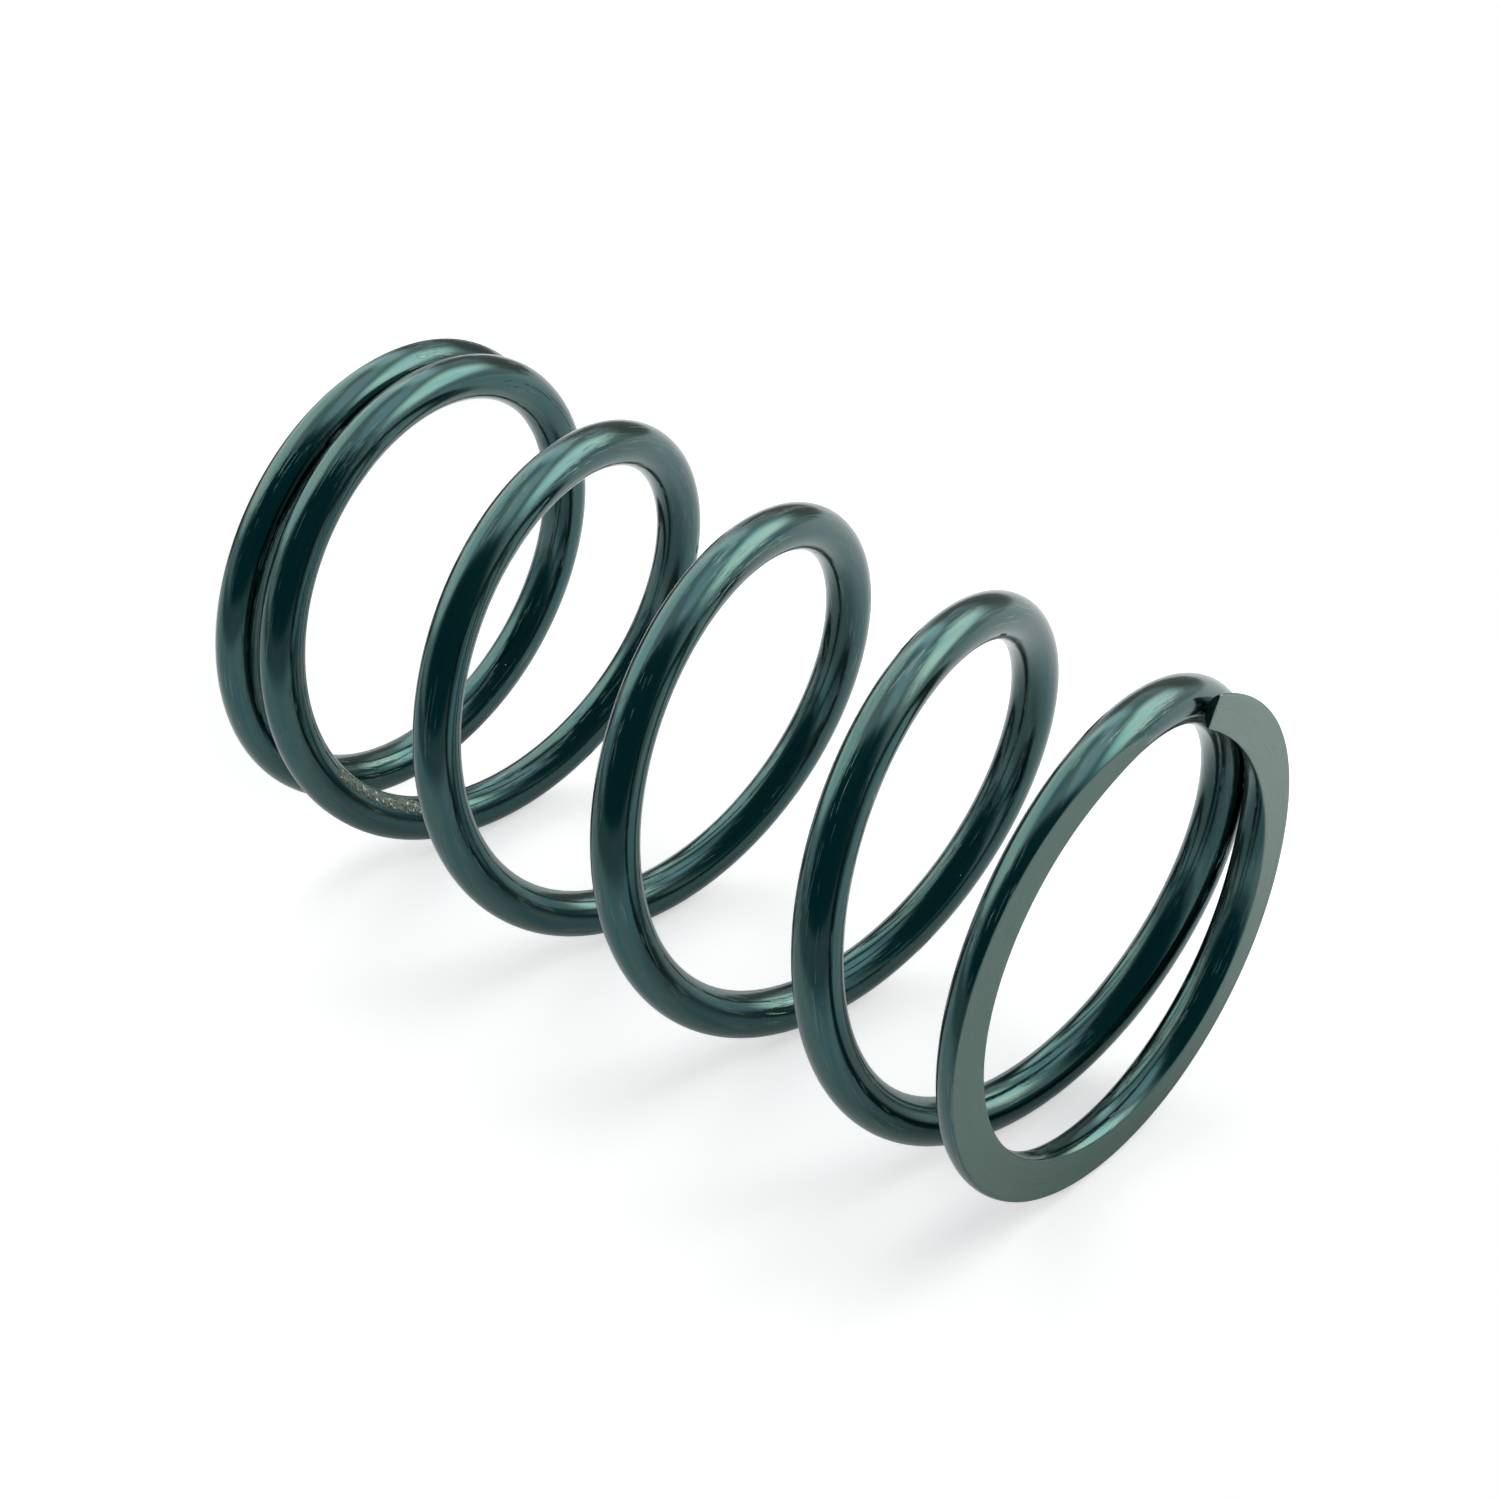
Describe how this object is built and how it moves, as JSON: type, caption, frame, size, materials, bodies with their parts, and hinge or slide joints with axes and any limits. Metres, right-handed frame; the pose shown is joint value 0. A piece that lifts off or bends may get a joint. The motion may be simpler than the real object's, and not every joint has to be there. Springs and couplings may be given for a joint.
{
  "type": "clutch spring",
  "caption": "Open-coil compression spring of round steel wire, closed and ground flat at both ends, that presses a clutch's pulley halves together.",
  "frame": {"origin": "in the plane of the lower ground seat, in the middle of the coil's bounding box", "axes": "+Z along the coil from the lower seat to the upper seat; +X points to the upper tip"},
  "size_m": [0.0575, 0.0584, 0.108],
  "materials": {
    "coated_wire": "satin"
  },
  "bodies": {
    "root": {"spring": "coated_wire"}
  },
  "joints": []
}
